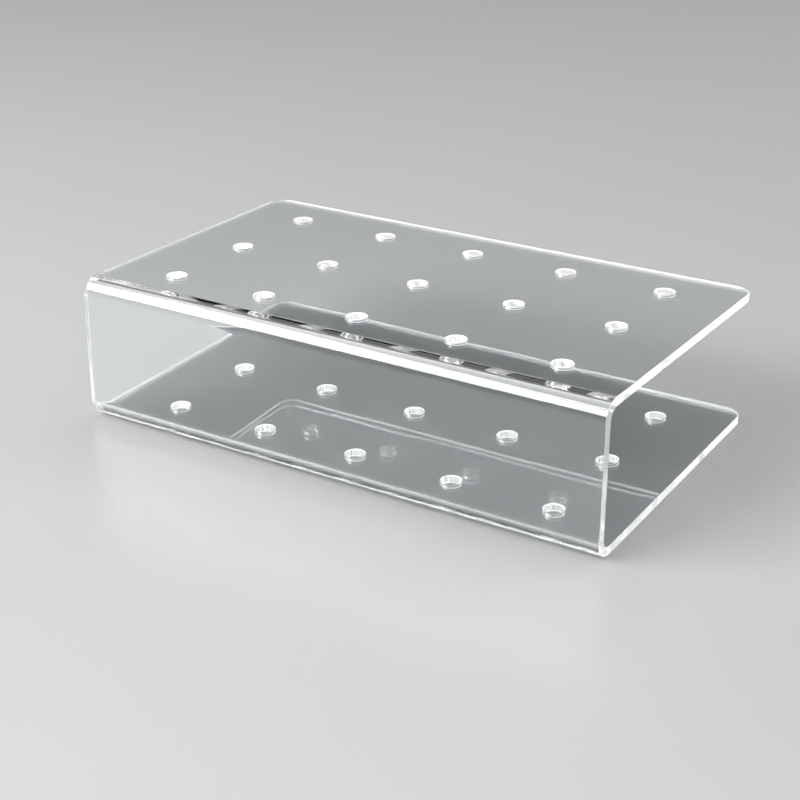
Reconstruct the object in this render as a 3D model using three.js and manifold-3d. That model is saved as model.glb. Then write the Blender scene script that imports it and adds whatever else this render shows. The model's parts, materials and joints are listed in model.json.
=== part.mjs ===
// A countertop stand thermoformed from one sheet of clear acrylic.
//
// The sheet is bent twice across its length into a sideways U: a base that lies on the table, a front
// wall, and a deck above the base. The back and both ends are open. Round holes are drilled through the
// base and through the deck in the same grid, so that a stick or tube goes through the deck and stands in
// the base. There is nothing else: no feet, no fasteners, and nothing that moves.
//
// Millimetres. X runs along the length, Y from the front wall to the open back, Z up. The origin is on
// the table, under the middle of the overall length and depth.

import * as THREE from 'three';
import { mergeVertices } from 'three/addons/utils/BufferGeometryUtils.js';
import Module from 'manifold-3d';

// The sheet and its overall sizes
const overallLength = 200;
const overallHeight = 52.3;
const baseDepth = 115;
const deckOverhang = 1.6;
const sheetThickness = 3;

// The two bends, hot-bent over a rod: the wall leans back and the deck falls towards the back
const insideBendRadius = 4;
const wallLean = THREE.MathUtils.degToRad(2.46);
const deckFall = THREE.MathUtils.degToRad(2.17);

// The free corners of the base and the deck
const cornerRadius = 6;

// The drilled grid, by its hole centres
const columns = 5;
const rows = 3;
const holeDiameter = 7;
const endMargin = 25;
const frontMargin = 20.2;
const baseBackMargin = 19.2;
const deckBackMargin = 18.6;

// How finely round stretches are divided, and how far a cutter passes the face that it cuts
const bendSegments = 8;
const cornerSegments = 12;
const holeSegments = 32;
const cutterOvershoot = 1;

// Places that follow from the sizes above
const outsideBendRadius = insideBendRadius + sheetThickness;
const front = -(baseDepth + deckOverhang) / 2;
const baseBack = front + baseDepth;
const deckBack = baseBack + deckOverhang;
const columnPitch = (overallLength - 2 * endMargin) / (columns - 1);
const rowPitch = (baseDepth - frontMargin - baseBackMargin) / (rows - 1);

// Directions in the side view, where x is the part's Y and y is the part's Z
const wallUp = new THREE.Vector2(Math.sin(wallLean), Math.cos(wallLean));
const deckRearward = new THREE.Vector2(Math.cos(deckFall), -Math.sin(deckFall));
const deckUp = new THREE.Vector2(Math.sin(deckFall), Math.cos(deckFall));

// The centres that each bend's inside and outside arcs share
const wallRun = (overallHeight - 2 * outsideBendRadius) / wallUp.y;
const lowerBendCentre = new THREE.Vector2(front + outsideBendRadius, outsideBendRadius);
const upperBendCentre = lowerBendCentre.clone().addScaledVector(wallUp, wallRun);

// The deck's upper face starts at the upper bend and ends at the deck's free edge
const deckTopStart = upperBendCentre.clone().addScaledVector(deckUp, outsideBendRadius);
const deckRun = (deckBack - deckTopStart.x) / deckRearward.x;
const deckTopEnd = deckTopStart.clone().addScaledVector(deckRearward, deckRun);
const deckUnderEnd = deckTopEnd.clone().addScaledVector(deckUp, -sheetThickness);

const wasm = await Module();
wasm.setup();

function solidFrom(geometry) {
  geometry.deleteAttribute('normal');
  geometry.deleteAttribute('uv');
  const merged = mergeVertices(geometry);
  const mesh = new wasm.Mesh({
    numProp: 3,
    vertProperties: new Float32Array(merged.attributes.position.array),
    triVerts: new Uint32Array(merged.index.array),
  });
  return new wasm.Manifold(mesh);
}

function geometryFrom(solid) {
  const mesh = solid.getMesh();
  const geometry = new THREE.BufferGeometry();
  geometry.setAttribute('position', new THREE.BufferAttribute(mesh.vertProperties, 3));
  geometry.setIndex(new THREE.BufferAttribute(mesh.triVerts, 1));
  geometry.computeVertexNormals();
  return geometry;
}

// The sheet's edge as seen from the end, a C that is open towards the back
function sheetOutline() {
  const outline = new THREE.Shape();
  const down = -Math.PI / 2;
  const wallOutward = -Math.PI - wallLean;
  const deckOutward = -3 * Math.PI / 2 - deckFall;
  outline.moveTo(baseBack, 0);
  outline.lineTo(lowerBendCentre.x, 0);
  outline.absarc(lowerBendCentre.x, lowerBendCentre.y, outsideBendRadius, down, wallOutward, true);
  outline.absarc(upperBendCentre.x, upperBendCentre.y, outsideBendRadius, wallOutward, deckOutward, true);
  outline.lineTo(deckTopEnd.x, deckTopEnd.y);
  outline.lineTo(deckUnderEnd.x, deckUnderEnd.y);
  outline.absarc(upperBendCentre.x, upperBendCentre.y, insideBendRadius, deckOutward, wallOutward, false);
  outline.absarc(lowerBendCentre.x, lowerBendCentre.y, insideBendRadius, wallOutward, down, false);
  outline.lineTo(baseBack, sheetThickness);
  outline.closePath();
  return outline;
}

// The bent sheet before drilling: its edge outline drawn out along the length
function bentSheet() {
  const geometry = new THREE.ExtrudeGeometry(sheetOutline(), {
    depth: overallLength,
    bevelEnabled: false,
    curveSegments: bendSegments,
  });
  const alongX = new THREE.Vector3(1, 0, 0);
  const alongY = new THREE.Vector3(0, 1, 0);
  const alongZ = new THREE.Vector3(0, 0, 1);
  geometry.applyMatrix4(new THREE.Matrix4().makeBasis(alongY, alongZ, alongX));
  geometry.translate(-overallLength / 2, 0, 0);
  return solidFrom(geometry);
}

// A panel's own frame lies at the middle of its free edge, half way through the sheet: x along the
// length, y out past the edge, and z up through the panel
function panelFrame(edgeTop, edgeUnder, fall) {
  const middle = edgeTop.clone().add(edgeUnder).multiplyScalar(1 / 2);
  return new THREE.Matrix4().makeTranslation(0, middle.x, middle.y)
    .multiply(new THREE.Matrix4().makeRotationX(-fall));
}

const cutterHeight = sheetThickness + 2 * cutterOvershoot;

function holeCutter(x, y) {
  const radius = holeDiameter / 2;
  const geometry = new THREE.CylinderGeometry(radius, radius, cutterHeight, holeSegments);
  geometry.rotateX(Math.PI / 2);
  geometry.translate(x, y, 0);
  return geometry;
}

// What is trimmed off a square corner to leave it round, at the end given by side, -1 or 1
function cornerCutter(side) {
  const past = cutterOvershoot;
  const trim = new THREE.Shape();
  trim.moveTo(past, -cornerRadius);
  trim.lineTo(past, past);
  trim.lineTo(-cornerRadius, past);
  trim.lineTo(-cornerRadius, 0);
  trim.absarc(-cornerRadius, -cornerRadius, cornerRadius, Math.PI / 2, 0, true);
  trim.closePath();
  const geometry = new THREE.ExtrudeGeometry(trim, {
    depth: cutterHeight,
    bevelEnabled: false,
    curveSegments: cornerSegments / 2,
  });
  geometry.translate(overallLength / 2, 0, -cutterHeight / 2);
  if (side < 0) {
    geometry.rotateY(Math.PI);
  }
  return geometry;
}

// Everything that is cut out of one panel, placed by the panel's frame
function panelCutters(frame, backMargin) {
  const cutters = [cornerCutter(-1), cornerCutter(1)];
  for (let row = 0; row < rows; row += 1) {
    for (let column = 0; column < columns; column += 1) {
      const x = (column - (columns - 1) / 2) * columnPitch;
      const y = -backMargin - row * rowPitch;
      cutters.push(holeCutter(x, y));
    }
  }
  return cutters.map((geometry) => solidFrom(geometry.applyMatrix4(frame)));
}

const baseTopEnd = new THREE.Vector2(baseBack, sheetThickness);
const baseUnderEnd = new THREE.Vector2(baseBack, 0);
const cutters = [
  ...panelCutters(panelFrame(baseTopEnd, baseUnderEnd, 0), baseBackMargin),
  ...panelCutters(panelFrame(deckTopEnd, deckUnderEnd, deckFall), deckBackMargin),
];
const drilledSheet = cutters.reduce((solid, cutter) => solid.subtract(cutter), bentSheet());

const clearAcrylic = new THREE.MeshStandardMaterial({
  color: 0xeef3f4,
  roughness: 0.06,
  metalness: 0,
  transparent: true,
  opacity: 0.35,
  side: THREE.DoubleSide,
});

const sheet = new THREE.Mesh(geometryFrom(drilledSheet), clearAcrylic);
sheet.name = 'bent_acrylic_sheet';

const stand = new THREE.Group();
stand.add(sheet);

export default stand;
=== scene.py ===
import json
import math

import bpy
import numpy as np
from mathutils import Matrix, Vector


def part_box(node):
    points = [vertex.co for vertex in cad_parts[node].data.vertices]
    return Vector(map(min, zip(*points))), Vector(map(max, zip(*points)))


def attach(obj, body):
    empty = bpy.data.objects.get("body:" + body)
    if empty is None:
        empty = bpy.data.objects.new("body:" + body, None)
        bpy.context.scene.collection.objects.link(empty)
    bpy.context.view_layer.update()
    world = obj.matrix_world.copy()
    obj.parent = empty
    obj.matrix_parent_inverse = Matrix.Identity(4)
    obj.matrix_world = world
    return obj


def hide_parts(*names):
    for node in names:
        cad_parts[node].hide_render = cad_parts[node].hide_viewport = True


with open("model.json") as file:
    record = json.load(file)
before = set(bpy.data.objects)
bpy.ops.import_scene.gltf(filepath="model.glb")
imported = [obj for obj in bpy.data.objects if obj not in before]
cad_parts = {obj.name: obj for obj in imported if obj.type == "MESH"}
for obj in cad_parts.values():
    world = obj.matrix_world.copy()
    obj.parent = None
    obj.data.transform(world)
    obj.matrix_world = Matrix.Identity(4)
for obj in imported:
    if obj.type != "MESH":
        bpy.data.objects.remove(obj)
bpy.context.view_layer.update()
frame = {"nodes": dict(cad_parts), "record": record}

# The looks of a countertop stand that is bent from one sheet of clear acrylic.
#
# The sheet is made as the real one is. It is laid out flat, cut to a rounded rectangle, drilled, given a
# slight break on every cut edge, and only then bent. A point of the flat sheet is (x, run, out): x along
# the stand's length, run along the sheet from the base's free edge to the deck's free edge, and out from
# the middle of the sheet towards the outside of the bends. Metres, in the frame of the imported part.

NODE = "bent_acrylic_sheet"

# The sheet and how it is cut and bent
THICKNESS = 0.003
HALF = THICKNESS / 2
BEND_OUTSIDE = 0.007
BEND_MIDDLE = BEND_OUTSIDE - HALF
CORNER_RADIUS = 0.006
HOLE_RADIUS = 0.0035
EDGE_BREAK = 0.00018

# How finely the mesh is divided
CELL_HALF = 0.0115
CELL_DIVISIONS = 14
CELL_RINGS = 6
CELL_CROWDING = 1.6
PLAIN_SPACING = 0.0024
BEND_DIVISIONS = 22
BREAK_DIVISIONS = 2
EDGE_DIVISIONS = 6


# ---------------------------------------------------------------- the side view

mounts = {mount["name"]: mount for mount in frame["record"]["mounts"]}
openings = {hole["name"]: hole["box_m"] for hole in frame["record"]["physics"]["openings"]}
cad_low, cad_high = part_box(NODE)
cad_points = np.array([vertex.co for vertex in frame["nodes"][NODE].data.vertices])


def side(vector):
    """A point or direction as it is in the side view: its Y and Z."""
    return np.array([vector[1], vector[2]], float)


def bend_centre(point_a, out_a, point_b, out_b):
    """The centre of the outside arc between two outer faces, given by a point and an outward normal."""
    levels = [point_a @ out_a - BEND_OUTSIDE, point_b @ out_b - BEND_OUTSIDE]
    return np.linalg.solve(np.array([out_a, out_b]), np.array(levels))


wall_point, wall_out = (side(mounts["front_face"][key]) for key in ("pos_m", "axis"))
deck_point, deck_out = (side(mounts["deck_top"][key]) for key in ("pos_m", "axis"))
base_point, base_out = (side(mounts["base_rest"][key]) for key in ("pos_m", "axis"))
deck_along = np.array([deck_out[1], -deck_out[0]])
wall_along = np.array([wall_out[1], -wall_out[0]])

lower_centre = bend_centre(base_point, base_out, wall_point, wall_out)
upper_centre = bend_centre(wall_point, wall_out, deck_point, deck_out)
lower_turn = math.pi / 2 + math.atan2(wall_along[0], wall_along[1])
upper_turn = math.pi - lower_turn - math.atan2(deck_along[1], deck_along[0])

base_back = float(cad_points[cad_points[:, 2] < 2 * THICKNESS, 1].max())
base_start = np.array([base_back, HALF])
deck_start = upper_centre + BEND_MIDDLE * deck_out
deck_length = (cad_high.y - HALF * deck_out[0] - deck_start[0]) / deck_along[0]

# Where each stretch ends, counted along the middle of the sheet
BASE_END = base_back - lower_centre[0]
LOWER_END = BASE_END + BEND_MIDDLE * lower_turn
WALL_END = LOWER_END + float((upper_centre - lower_centre) @ wall_along)
UPPER_END = WALL_END + BEND_MIDDLE * upper_turn
DECK_END = UPPER_END + deck_length
STRETCH_ENDS = (BASE_END, LOWER_END, WALL_END, UPPER_END)


def bent(run):
    """The middle of the sheet, its outward normal and its direction of travel, in the side view."""
    lower = np.clip((run - BASE_END) / BEND_MIDDLE, 0, lower_turn)
    upper = np.clip((run - WALL_END) / BEND_MIDDLE, 0, upper_turn)
    angle = -math.pi / 2 - lower - upper
    out = np.stack([np.cos(angle), np.sin(angle)], -1)
    along = np.stack([out[..., 1], -out[..., 0]], -1)
    wall_start = lower_centre + BEND_MIDDLE * wall_out
    stretch = np.searchsorted(STRETCH_ENDS, run)[..., None]
    middle = np.select(
        [stretch == 0, stretch == 1, stretch == 2, stretch == 3],
        [
            base_start + run[..., None] * np.array([-1.0, 0.0]),
            lower_centre + BEND_MIDDLE * out,
            wall_start + (run[..., None] - LOWER_END) * wall_along,
            upper_centre + BEND_MIDDLE * out,
        ],
        deck_start + (run[..., None] - UPPER_END) * deck_along,
    )
    return middle, out, along


# ---------------------------------------------------------------- the flat sheet

def hole_centre(name):
    """A hole's centre on the flat sheet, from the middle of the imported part's opening box."""
    low, high = (np.array(corner, float) for corner in openings[name])
    middle = (low + high) / 2
    if name.startswith("base"):
        return float(middle[0]), float(base_back - middle[1])
    return float(middle[0]), float(UPPER_END + (middle[1] - deck_start[0]) / deck_along[0])


hole_centres = [hole_centre(name) for name in openings if "_hole_" in name]
columns = sorted({round(x, 6) for x, _ in hole_centres})
row_runs = sorted({round(run, 6) for _, run in hole_centres})
holes = [(x, run) for run in row_runs for x in columns]

X_LOW, X_HIGH = float(cad_low.x) + EDGE_BREAK, float(cad_high.x) - EDGE_BREAK
RUN_LOW, RUN_HIGH = EDGE_BREAK, DECK_END - EDGE_BREAK
FLAT_CORNER = CORNER_RADIUS - EDGE_BREAK
FLAT_HOLE = HOLE_RADIUS + EDGE_BREAK
# A point counts as on a hole's rim within this share of the rim's radius
RIM_REACH = 1.01
# A loop of points longer than this is the sheet's outline, and a shorter one is a hole's rim
LONGEST_RIM = 0.1


def bands(low, high, centres, inner_breaks=()):
    """Cuts a side of the sheet into bands (start, end, divisions), one of them round each hole row."""
    cells = {(c - CELL_HALF, c + CELL_HALF) for c in centres}
    stops = sorted({low, high, *inner_breaks, *(edge for cell in cells for edge in cell)})
    found = []
    for start, end in zip(stops, stops[1:]):
        if (start, end) in cells:
            count = CELL_DIVISIONS
        elif start in (BASE_END, WALL_END):
            count = BEND_DIVISIONS
        else:
            count = max(1, round((end - start) / PLAIN_SPACING))
        found.append((start, end, count))
    return found


class FlatMesh:
    """Quads on the flat sheet, which share the points that coincide."""

    STEP = 1e-6

    def __init__(self):
        self.points = []
        self.quads = []
        self.found = {}

    def point(self, place):
        key = tuple(round(float(value) / self.STEP) for value in place)
        if key not in self.found:
            self.found[key] = len(self.points)
            self.points.append((float(place[0]), float(place[1])))
        return self.found[key]

    def patch(self, grid, closed=False):
        """Adds the quads of a grid of points: grid[i][j], i along x and j along the run."""
        names = [[self.point(place) for place in line] for line in grid]
        if closed:
            names = [line + line[:1] for line in names]
        for here, there in zip(names, names[1:]):
            for j in range(len(here) - 1):
                self.quads.append((here[j], there[j], there[j + 1], here[j + 1]))

    def boundary(self):
        """The loops of points round the outline and the holes, with the sheet on their left."""
        edges = set()
        for quad in self.quads:
            edges.update(zip(quad, quad[1:] + quad[:1]))
        follow = {a: b for a, b in edges if (b, a) not in edges}
        loops = []
        while follow:
            first, here = follow.popitem()
            loop = [first]
            while here != first:
                loop.append(here)
                here = follow.pop(here)
            loops.append(loop)
        return sorted(loops, key=lambda loop: tuple(sorted(self.points[name] for name in loop)[0]))


def plain_patch(x_band, run_band):
    xs = np.linspace(*x_band[:2], x_band[2] + 1)
    runs = np.linspace(*run_band[:2], run_band[2] + 1)
    return [[(x, run) for run in runs] for x in xs]


def hole_patch(x_centre, run_centre):
    """Rings from the rim of a hole out to the square cell round it, as lines of points that close."""
    centre = np.array([x_centre, run_centre])
    steps = np.linspace(-CELL_HALF, CELL_HALF, CELL_DIVISIONS + 1)[:-1]
    square = [(CELL_HALF, step) for step in steps] + [(-step, CELL_HALF) for step in steps]
    square += [(-CELL_HALF, -step) for step in steps] + [(step, -CELL_HALF) for step in steps]
    angles = -math.pi / 4 + 2 * math.pi * np.arange(len(square)) / len(square)
    circle = FLAT_HOLE * np.stack([np.cos(angles), np.sin(angles)], -1)
    rings = []
    for ring in range(CELL_RINGS + 1):
        share = (ring / CELL_RINGS) ** CELL_CROWDING
        rings.append(centre + (1 - share) * circle + share * np.array(square))
    return rings


def corner_patch(x_band, run_band, x_side, run_side):
    """A grid whose outer corner is rounded: its two outer sides share the arc between them."""
    x_in, x_out = x_band[:2] if x_side > 0 else x_band[1::-1]
    run_in, run_out = run_band[:2] if run_side > 0 else run_band[1::-1]
    centre = np.array([x_out - x_side * FLAT_CORNER, run_out - run_side * FLAT_CORNER])

    def on_edge(share, straight, start, direction, arc_from, arc_to):
        length = straight + FLAT_CORNER * math.pi / 4
        travel = share * length
        if travel <= straight:
            return start + travel * direction
        angle = (travel - straight) / FLAT_CORNER
        return centre + FLAT_CORNER * (math.cos(angle) * arc_from + math.sin(angle) * arc_to)

    to_x = np.array([x_side, 0.0])
    to_run = np.array([0.0, run_side])
    x_straight = abs(x_out - x_in) - FLAT_CORNER
    run_straight = abs(run_out - run_in) - FLAT_CORNER
    start = np.array([x_in, run_in])
    x_step, run_step = abs(x_out - x_in) * to_x, abs(run_out - run_in) * to_run
    grid = []
    for i in range(x_band[2] + 1):
        a = i / x_band[2]
        line = []
        for j in range(run_band[2] + 1):
            b = j / run_band[2]
            near_run = start + a * x_step
            near_x = start + b * run_step
            far_run = on_edge(a, x_straight, start + run_step, to_x, to_run, to_x)
            far_x = on_edge(b, run_straight, start + x_step, to_run, to_x, to_run)
            tip = on_edge(1, x_straight, start, to_x, to_run, to_x)
            corners = (1 - a) * (1 - b) * start + a * (1 - b) * (start + x_step)
            corners = corners + (1 - a) * b * (start + run_step) + a * b * tip
            edges = (1 - b) * near_run + b * far_run + (1 - a) * near_x + a * far_x
            line.append(tuple(edges - corners))
        grid.append(line if run_side > 0 else line[::-1])
    return grid if x_side > 0 else grid[::-1]


def flat_sheet():
    mesh = FlatMesh()
    x_bands = bands(X_LOW, X_HIGH, columns)
    run_bands = bands(RUN_LOW, RUN_HIGH, row_runs, STRETCH_ENDS)
    cells = {round((x - CELL_HALF) / FlatMesh.STEP): x for x in columns}
    rows = {round((run - CELL_HALF) / FlatMesh.STEP): run for run in row_runs}
    for i, x_band in enumerate(x_bands):
        for j, run_band in enumerate(run_bands):
            column = cells.get(round(x_band[0] / FlatMesh.STEP))
            row = rows.get(round(run_band[0] / FlatMesh.STEP))
            x_side = {0: -1, len(x_bands) - 1: 1}.get(i, 0)
            run_side = {0: -1, len(run_bands) - 1: 1}.get(j, 0)
            if column is not None and row is not None:
                mesh.patch(hole_patch(column, row), closed=True)
            elif x_side and run_side:
                mesh.patch(corner_patch(x_band, run_band, x_side, run_side))
            else:
                mesh.patch(plain_patch(x_band, run_band))
    return mesh


def out_of_sheet(x, run):
    """The direction out of the material, in the flat, at a point of the outline or of a hole's rim."""
    for x_hole, run_hole in holes:
        away = Vector((x_hole - x, run_hole - run))
        if away.length < FLAT_HOLE * RIM_REACH:
            return away.normalized()
    x_over = abs(x) - (X_HIGH - FLAT_CORNER)
    run_middle, run_half = (RUN_HIGH + RUN_LOW) / 2, (RUN_HIGH - RUN_LOW) / 2
    run_over = abs(run - run_middle) - (run_half - FLAT_CORNER)
    away = Vector((math.copysign(max(x_over, 0), x), math.copysign(max(run_over, 0), run - run_middle)))
    return away.normalized()


# ---------------------------------------------------------------- from flat sheet to solid

FACE, CUT_EDGE, HOLE_WALL = range(3)
# A drilled wall is scuffed, as a cut edge is, beyond this height from the middle of the sheet
SCUFF_FROM = 0.00085


class Solid:
    """The sheet as a closed mesh. Points and normals are kept as (x, run, out) until it is bent."""

    def __init__(self):
        self.places, self.normals = [], []
        self.faces, self.kinds, self.maps = [], [], []

    def add_points(self, places, normals):
        first = len(self.places)
        self.places.extend(places)
        self.normals.extend(normals)
        return range(first, len(self.places))

    def add_face(self, corners, kind, uv):
        self.faces.append(corners)
        self.kinds.append(kind)
        self.maps.append(uv)


def edge_section():
    """(how far out past the face's rim, height in the sheet, tilt) of each ring round a cut edge."""
    rings = []
    for k in range(1, BREAK_DIVISIONS + 1):
        tilt = math.pi / 2 * k / BREAK_DIVISIONS
        rings.append((EDGE_BREAK * math.sin(tilt), HALF - EDGE_BREAK * (1 - math.cos(tilt)), tilt))
    for k in range(1, EDGE_DIVISIONS):
        rings.append((EDGE_BREAK, (HALF - EDGE_BREAK) * (1 - 2 * k / EDGE_DIVISIONS), math.pi / 2))
    return rings + [(past, -height, math.pi - tilt) for past, height, tilt in rings[BREAK_DIVISIONS - 1::-1]]


def solid_sheet(flat):
    solid = Solid()
    skins = []
    for sign in (1, -1):
        skins.append(solid.add_points(
            [(x, run, sign * HALF) for x, run in flat.points], [(0, 0, sign)] * len(flat.points)))
    for quad in flat.quads:
        uv = [flat.points[name] for name in quad]
        solid.add_face([skins[0][name] for name in quad], FACE, uv)
        solid.add_face([skins[1][name] for name in quad[::-1]], FACE, uv[::-1])
    section = edge_section()
    for loop in flat.boundary():
        rim = [Vector(flat.points[name]) for name in loop]
        outs = [out_of_sheet(*place) for place in rim]
        length = max(place.x for place in rim) - min(place.x for place in rim)
        kind = CUT_EDGE if length > LONGEST_RIM else HOLE_WALL
        travel = [0.0]
        for k in range(len(rim)):
            travel.append(travel[-1] + (rim[(k + 1) % len(rim)] - rim[k]).length)
        rings = [[skins[0][name] for name in loop]]
        heights = [HALF]
        for past, height, tilt in section:
            rings.append(list(solid.add_points(
                [(p.x + past * o.x, p.y + past * o.y, height) for p, o in zip(rim, outs)],
                [(math.sin(tilt) * o.x, math.sin(tilt) * o.y, math.cos(tilt)) for o in outs])))
            heights.append(height)
        rings.append([skins[1][name] for name in loop])
        heights.append(-HALF)
        for r in range(len(rings) - 1):
            scuffed = min(abs(heights[r]), abs(heights[r + 1])) > SCUFF_FROM
            for k in range(len(rim)):
                n = (k + 1) % len(rim)
                solid.add_face(
                    [rings[r][n], rings[r][k], rings[r + 1][k], rings[r + 1][n]],
                    CUT_EDGE if scuffed else kind,
                    [(travel[k + 1], heights[r]), (travel[k], heights[r]),
                     (travel[k], heights[r + 1]), (travel[k + 1], heights[r + 1])])
    return solid


# What hot bending over a line heater leaves: a slight wander of each bend, and sides that draw in.
# A wave of the wander is (length, phase, share).
WANDER_WAVES = ((0.061, 0.9, 0.40), (0.0233, 2.3, 0.27), (0.0097, 4.1, 0.20), (0.0041, 0.6, 0.13))
WANDER_WIDTH = 0.0055
INNER_SKIN_PHASE = 1.7
LOWER_WANDER = 0.00007
UPPER_WANDER = 0.000012
DRAW_IN = 0.0003
DRAW_REACH = 0.003
SLOPE_STEP = 1e-5
LOWER_MIDDLE = (BASE_END + LOWER_END) / 2
UPPER_MIDDLE = (WALL_END + UPPER_END) / 2


def near(run, middle):
    return np.exp(-((run - middle) / WANDER_WIDTH) ** 2)


def wander(x, run, out):
    """How far a bend has sunk inwards from its true arc. The two skins wander apart a little."""
    skin = np.where(out > 0, 0.0, INNER_SKIN_PHASE)
    wave = sum(share * np.sin(2 * math.pi * x / length + phase + skin)
               for length, phase, share in WANDER_WAVES)
    depth = LOWER_WANDER * near(run, LOWER_MIDDLE) + UPPER_WANDER * near(run, UPPER_MIDDLE)
    return -depth * (1 + wave) / 2


def bend_sheet(solid):
    """The solid's points and normals in the part's frame, after bending."""
    x, run, out = np.array(solid.places, float).T
    normal = np.array(solid.normals, float)
    sink = wander(x, run, out)
    slope_x = (wander(x + SLOPE_STEP, run, out) - sink) / SLOPE_STEP
    slope_run = (wander(x, run + SLOPE_STEP, out) - sink) / SLOPE_STEP
    normal[:, 0] -= slope_x * normal[:, 2]
    normal[:, 1] -= slope_run * normal[:, 2]
    bends = near(run, LOWER_MIDDLE) + near(run, UPPER_MIDDLE)
    from_end = (X_HIGH + EDGE_BREAK) - np.abs(x)
    draw = DRAW_IN * bends * np.exp(-from_end / DRAW_REACH) * (0.5 + out / THICKNESS)
    middle, outward, along = bent(run)
    yz = middle + outward * (out + sink)[:, None]
    places = np.column_stack([x - np.sign(x) * draw, yz])
    turned = np.column_stack([
        normal[:, 0],
        along * normal[:, 1:2] + outward * normal[:, 2:3],
    ])
    return places, turned / np.linalg.norm(turned, axis=1, keepdims=True)


def sheet_object(materials):
    solid = solid_sheet(flat_sheet())
    places, normals = bend_sheet(solid)
    mesh = bpy.data.meshes.new("bent_sheet")
    mesh.from_pydata(places.tolist(), [], solid.faces)
    for material in materials:
        mesh.materials.append(material)
    mesh.polygons.foreach_set("material_index", solid.kinds)
    mesh.polygons.foreach_set("use_smooth", [True] * len(solid.faces))
    sheet_map = mesh.uv_layers.new(name="sheet_map")
    sheet_map.data.foreach_set("uv", np.array(solid.maps, float).ravel())
    mesh.update()
    mesh.normals_split_custom_set_from_vertices(normals.tolist())
    piece = bpy.data.objects.new("acrylic_sheet", mesh)
    bpy.context.scene.collection.objects.link(piece)
    return piece


# ---------------------------------------------------------------- materials

REFRACTIVE_INDEX = 1.49
WHITE = (1.0, 1.0, 1.0, 1.0)

# The polished faces. Scales are in features per metre, along the sheet's length and along its run.
FACE_TINT = (0.975, 0.99, 0.99, 1.0)
FACE_ROUGHNESS = (0.002, 0.012)
SMUDGE_SCALE = 28.0
SMUDGE_RANGE = (0.45, 0.75)
FLOW_SCALE = (30.0, 55.0, 1.0)
FLOW_DEPTH = 0.00003
FLOW_STRENGTH = 0.6

DUST_TINT = (0.62, 0.62, 0.61, 1.0)
DUST_SCALE = 120.0
DUST_EDGE = (0.012, 0.030)
DUST_BARE_SHARE = 0.78
DUST_HEIGHT = 0.00004

# Cut and drilled faces. Scales are in features per metre, along the rim and then through the sheet.
# The glow is painted light: an emission on faces that are no lamps, standing in for part of the light that
# the sheet carries to them.
NOISE_MIDDLE = (0.3, 0.7)
CUT_BUMP_DEPTH = 0.00001
CUT_BUMP_STRENGTH = 0.4

EDGE_TINT = (0.86, 0.89, 0.90, 1.0)
EDGE_ROUGHNESS = (0.06, 0.18)
EDGE_CLARITY = 0.75
# Painted glow on the cut edges: an emission that stands in for light the sheet carries
EDGE_PAINTED_GLOW = 0.33
RIB_SCALE = (5200.0, 130.0, 1.0)
EDGE_BAND_SCALE = (210.0, 60.0, 1.0)

WALL_TINT = (0.84, 0.87, 0.88, 1.0)
WALL_ROUGHNESS = (0.05, 0.14)
WALL_CLARITY = 0.92
# Painted glow on the drilled walls: a faint emission that stands in for light the sheet carries
WALL_PAINTED_GLOW = 0.09
RING_SCALE = (70.0, 5200.0, 1.0)
FROST_SCALE = 1400.0

# The floor, with the scale of its grain per metre
FLOOR_SHADES = ((0.285, 0.289, 0.293, 1.0), (0.300, 0.303, 0.306, 1.0))
FLOOR_GRAIN_SCALE = 9.0
FLOOR_ROUGHNESS = 0.32


def new_material(name):
    material = bpy.data.materials.new(name)
    material.use_nodes = True
    tree = material.node_tree
    return material, tree, tree.nodes["Principled BSDF"]


def node(tree, kind, **settings):
    made = tree.nodes.new(kind)
    for name, value in settings.items():
        if name in made.inputs:
            made.inputs[name].default_value = value
        else:
            setattr(made, name, value)
    return made


def noise(tree, vector, scale, detail=2.0, roughness=0.5):
    made = node(tree, "ShaderNodeTexNoise", Scale=scale, Detail=detail, Roughness=roughness)
    tree.links.new(vector, made.inputs["Vector"])
    return made.outputs["Fac"]


def stretched_noise(tree, vector, scale, detail):
    """Noise with its own scale along each direction of the map."""
    mapping = node(tree, "ShaderNodeMapping")
    mapping.inputs["Scale"].default_value = scale
    tree.links.new(vector, mapping.inputs["Vector"])
    return noise(tree, mapping.outputs["Vector"], 1.0, detail)


def ramp(tree, value, span, to_span):
    """The value, taken from one span to another and held at its ends."""
    made = node(tree, "ShaderNodeMapRange")
    for name, number in zip(("From Min", "From Max", "To Min", "To Max"), (*span, *to_span)):
        made.inputs[name].default_value = number
    tree.links.new(value, made.inputs["Value"])
    return made.outputs["Result"]


def mixed(tree, factor, first, second):
    made = node(tree, "ShaderNodeMix", data_type="RGBA")
    made.inputs["A"].default_value = first
    made.inputs["B"].default_value = second
    tree.links.new(factor, made.inputs["Factor"])
    return made.outputs["Result"]


def bump(tree, height, distance, strength=1.0, before=None):
    made = node(tree, "ShaderNodeBump", Distance=distance, Strength=strength)
    tree.links.new(height, made.inputs["Height"])
    if before is not None:
        tree.links.new(before, made.inputs["Normal"])
    return made.outputs["Normal"]


def sheet_map(tree):
    return node(tree, "ShaderNodeUVMap", uv_map="sheet_map").outputs["UV"]


def make_acrylic(tree, shader, colour, roughness, normal, clarity, painted_glow=0.0):
    tree.links.new(colour, shader.inputs["Base Color"])
    tree.links.new(roughness, shader.inputs["Roughness"])
    tree.links.new(normal, shader.inputs["Normal"])
    shader.inputs["IOR"].default_value = REFRACTIVE_INDEX
    shader.inputs["Transmission Weight"].default_value = clarity
    # The emission is a painted glow: these faces are no lamps, and it stands in for light that the sheet
    # carries
    shader.inputs["Emission Color"].default_value = WHITE
    shader.inputs["Emission Strength"].default_value = painted_glow


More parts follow.
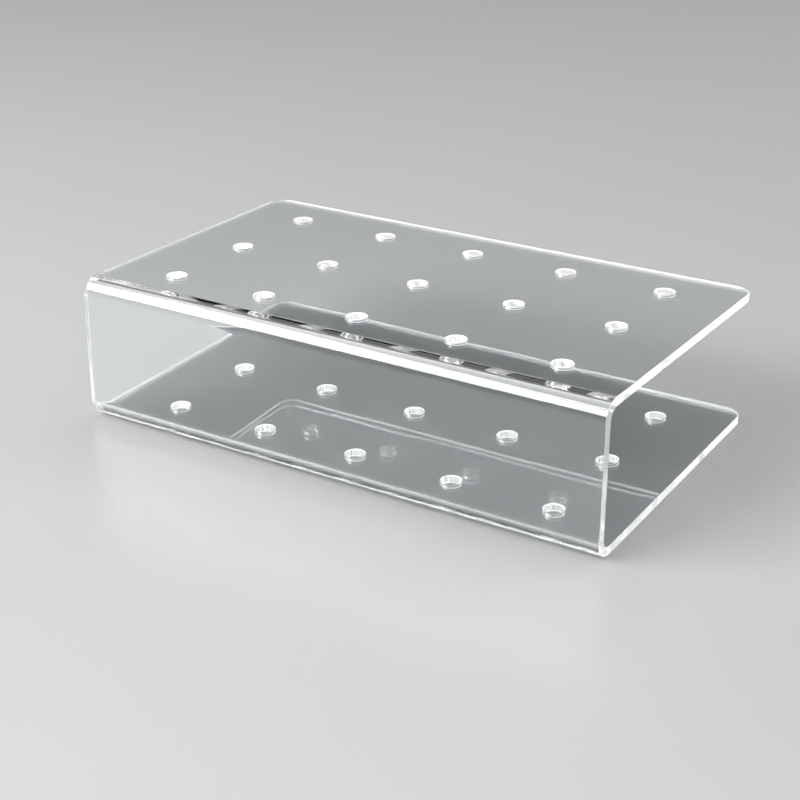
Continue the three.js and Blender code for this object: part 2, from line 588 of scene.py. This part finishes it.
def dust(tree, place):
    """1 on a few tiny specks and 0 elsewhere."""
    cells = node(tree, "ShaderNodeTexVoronoi", feature="F1", Scale=DUST_SCALE, Randomness=1.0)
    tree.links.new(place, cells.inputs["Vector"])
    speck = ramp(tree, cells.outputs["Distance"], DUST_EDGE, (1.0, 0.0))
    shade = node(tree, "ShaderNodeSeparateColor")
    tree.links.new(cells.outputs["Color"], shade.inputs["Color"])
    chosen = node(tree, "ShaderNodeMath", operation="GREATER_THAN")
    chosen.inputs[1].default_value = DUST_BARE_SHARE
    tree.links.new(shade.outputs["Red"], chosen.inputs[0])
    both = node(tree, "ShaderNodeMath", operation="MULTIPLY")
    tree.links.new(speck, both.inputs[0])
    tree.links.new(chosen.outputs["Value"], both.inputs[1])
    return both.outputs["Value"]


def clear_face():
    """Polished acrylic: a faint cool body, a slight flow from the rollers, smudges and a little dust."""
    material, tree, shader = new_material("clear_acrylic_face")
    place = sheet_map(tree)
    specks = dust(tree, place)
    smudge = noise(tree, place, SMUDGE_SCALE, 4.0, 0.6)
    flow = stretched_noise(tree, place, FLOW_SCALE, 1.0)
    rolled = bump(tree, flow, FLOW_DEPTH, FLOW_STRENGTH)
    make_acrylic(
        tree, shader,
        colour=mixed(tree, specks, FACE_TINT, DUST_TINT),
        roughness=ramp(tree, smudge, SMUDGE_RANGE, FACE_ROUGHNESS),
        normal=bump(tree, specks, DUST_HEIGHT, before=rolled),
        clarity=1.0,
    )
    return material


def cut_edge():
    """A cut edge: bright with a painted glow that stands in for the light the sheet carries, and finely
    ribbed across its thickness.
    """
    material, tree, shader = new_material("clear_acrylic_cut_edge")
    place = sheet_map(tree)
    ribs = stretched_noise(tree, place, RIB_SCALE, 2.0)
    edge_bands = stretched_noise(tree, place, EDGE_BAND_SCALE, 3.0)
    make_acrylic(
        tree, shader,
        colour=mixed(tree, edge_bands, EDGE_TINT, WHITE),
        roughness=ramp(tree, ribs, NOISE_MIDDLE, EDGE_ROUGHNESS),
        normal=bump(tree, ribs, CUT_BUMP_DEPTH, CUT_BUMP_STRENGTH),
        clarity=EDGE_CLARITY,
        painted_glow=EDGE_PAINTED_GLOW,
    )
    return material


def hole_wall():
    """A drilled wall: frosted by the drill's turns, which leave fine rings round it, and given a faint
    painted glow.
    """
    material, tree, shader = new_material("clear_acrylic_hole_wall")
    place = sheet_map(tree)
    rings = stretched_noise(tree, place, RING_SCALE, 2.0)
    frost = noise(tree, place, FROST_SCALE, 3.0, 0.6)
    make_acrylic(
        tree, shader,
        colour=mixed(tree, frost, WALL_TINT, WHITE),
        roughness=ramp(tree, frost, NOISE_MIDDLE, WALL_ROUGHNESS),
        normal=bump(tree, rings, CUT_BUMP_DEPTH, CUT_BUMP_STRENGTH),
        clarity=WALL_CLARITY,
        painted_glow=WALL_PAINTED_GLOW,
    )
    return material


def floor_material():
    material, tree, shader = new_material("pale_floor")
    place = node(tree, "ShaderNodeTexCoord").outputs["Object"]
    grain = noise(tree, place, FLOOR_GRAIN_SCALE, 3.0)
    tree.links.new(mixed(tree, grain, *FLOOR_SHADES), shader.inputs["Base Color"])
    shader.inputs["Roughness"].default_value = FLOOR_ROUGHNESS
    return material


# ---------------------------------------------------------------- the studio

VIEW_AZIMUTH = 32.77
VIEW_ELEVATION = 25.50
VIEW_ROLL = math.radians(-1.19)
VIEW_DISTANCE = 0.5742
AIM_SIDE = -0.00547
AIM_UP = -0.01754
FOCAL_LENGTH = 74.13
FLOOR_RADIUS = 30.0
FLOOR_SIDES = 96
FLOOR_GAP = 0.00005
# The studio walls, from where they meet the floor up to this rise, as the sine of the elevation
WALL_SHADES = ((0.290, 0.295, 0.300, 1.0), (0.120, 0.124, 0.128, 1.0))
WALL_RISE = 0.34

middle = (cad_low + cad_high) / 2


def away_from(azimuth, elevation):
    """The direction from the object at these degrees. Azimuth 0 is in front of it, 90 to its right."""
    a = math.radians(azimuth)
    e = math.radians(elevation)
    return Vector((math.sin(a) * math.cos(e), -math.cos(a) * math.cos(e), math.sin(e)))


def add_camera():
    back = away_from(VIEW_AZIMUTH, VIEW_ELEVATION)
    level = away_from(VIEW_AZIMUTH + 90, 0)
    roll = Matrix.Rotation(VIEW_ROLL, 3, back)
    right = roll @ level
    up = back.cross(right)
    target = middle + AIM_SIDE * right + AIM_UP * up
    camera = bpy.data.objects.new("camera", bpy.data.cameras.new("camera"))
    camera.data.lens = FOCAL_LENGTH
    turn = Matrix((right, up, back)).transposed().to_4x4()
    camera.matrix_world = Matrix.Translation(target + VIEW_DISTANCE * back) @ turn
    bpy.context.scene.collection.objects.link(camera)
    bpy.context.scene.camera = camera


def add_softbox(name, azimuth, elevation, distance, size, power):
    """A rectangular light that faces the object."""
    away = away_from(azimuth, elevation)
    data = bpy.data.lights.new(name, "AREA")
    data.shape = "RECTANGLE"
    data.size, data.size_y = size
    data.energy = power
    lamp = bpy.data.objects.new(name, data)
    lamp.location = middle + distance * away
    lamp.rotation_euler = away.to_track_quat("Z", "Y").to_euler()
    bpy.context.scene.collection.objects.link(lamp)


def add_sun(azimuth, elevation, spread, strength):
    """Even light on the floor, as from a ceiling of diffusers. The spread is in degrees."""
    data = bpy.data.lights.new("ceiling", "SUN")
    data.angle = math.radians(spread)
    data.energy = strength
    lamp = bpy.data.objects.new("ceiling", data)
    lamp.rotation_euler = away_from(azimuth, elevation).to_track_quat("Z", "Y").to_euler()
    bpy.context.scene.collection.objects.link(lamp)


def add_world():
    """Studio walls: as pale as the floor where they meet it, and darker higher up."""
    world = bpy.data.worlds.new("studio")
    world.use_nodes = True
    bpy.context.scene.world = world
    tree = world.node_tree
    direction = node(tree, "ShaderNodeTexCoord").outputs["Generated"]
    parts = node(tree, "ShaderNodeSeparateXYZ")
    tree.links.new(direction, parts.inputs["Vector"])
    rise = ramp(tree, parts.outputs["Z"], (0.0, WALL_RISE), (0.0, 1.0))
    tree.links.new(mixed(tree, rise, *WALL_SHADES), tree.nodes["Background"].inputs["Color"])


def add_floor(material):
    bpy.ops.mesh.primitive_circle_add(vertices=FLOOR_SIDES, radius=FLOOR_RADIUS, fill_type="NGON")
    floor = bpy.context.object
    floor.name = "floor"
    floor.location.z = cad_low.z - FLOOR_GAP
    floor.data.materials.append(material)


add_camera()
add_world()
add_floor(floor_material())
add_softbox("key_front_left", azimuth=-38, elevation=38, distance=1.2, size=(0.98, 0.72), power=30)
add_sun(azimuth=200, elevation=80, spread=80, strength=2.6)
add_softbox("rim_back_right", azimuth=140, elevation=35, distance=1.3, size=(0.8, 0.5), power=5)
bpy.context.scene.view_settings.view_transform = "Standard"

# Light is carried a long way inside a clear sheet, so paths are followed for longer than usual
LONGEST_PATH = 32
paths = bpy.context.scene.cycles
paths.max_bounces = LONGEST_PATH
paths.glossy_bounces = 24
paths.transmission_bounces = LONGEST_PATH

acrylic = sheet_object([clear_face(), cut_edge(), hole_wall()])
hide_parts(NODE)
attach(acrylic, "root")
